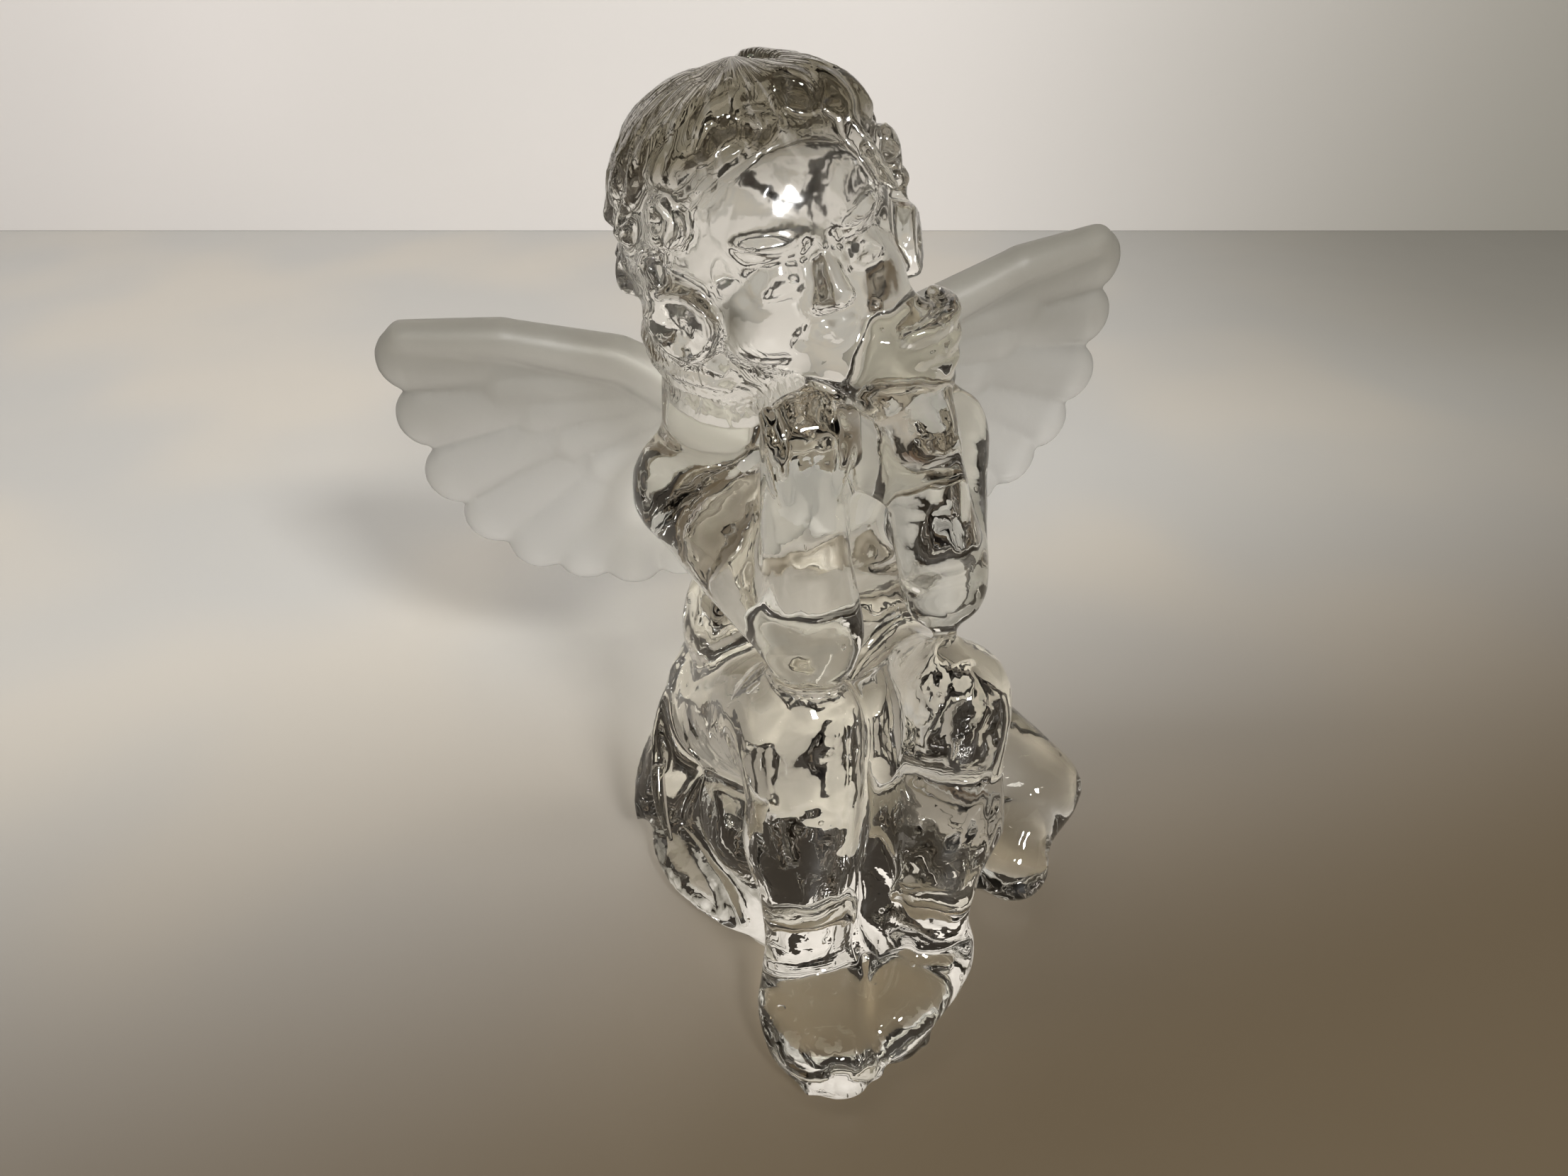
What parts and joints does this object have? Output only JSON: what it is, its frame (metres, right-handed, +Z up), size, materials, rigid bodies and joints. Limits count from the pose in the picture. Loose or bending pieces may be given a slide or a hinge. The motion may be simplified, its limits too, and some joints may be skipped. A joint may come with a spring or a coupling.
{
  "type": "glass cherub figurine",
  "caption": "Seated winged child figurine in clear solid glass, chin on fist and hand to cheek, with frosted scalloped wings, on a low round rock base.",
  "frame": {"origin": "on the flat underside of the rock, under the middle of the seated body", "axes": "+Z up; the figure faces -Y, so its own right side is towards -X and its wings are on the +Y side"},
  "size_m": [0.1134, 0.0786, 0.1203],
  "materials": {
    "clear_glass": "fire-polished clear glass",
    "frosted_glass": "acid-frosted satin glass"
  },
  "bodies": {
    "root": {"base_rock": "clear_glass", "drape": "clear_glass", "torso": "clear_glass", "head": "clear_glass", "hair": "clear_glass", "right_arm": "clear_glass", "left_arm": "clear_glass", "right_leg": "clear_glass", "left_leg": "clear_glass", "right_foot": "clear_glass", "left_foot": "clear_glass", "right_wing": "frosted_glass", "left_wing": "frosted_glass"}
  },
  "joints": []
}
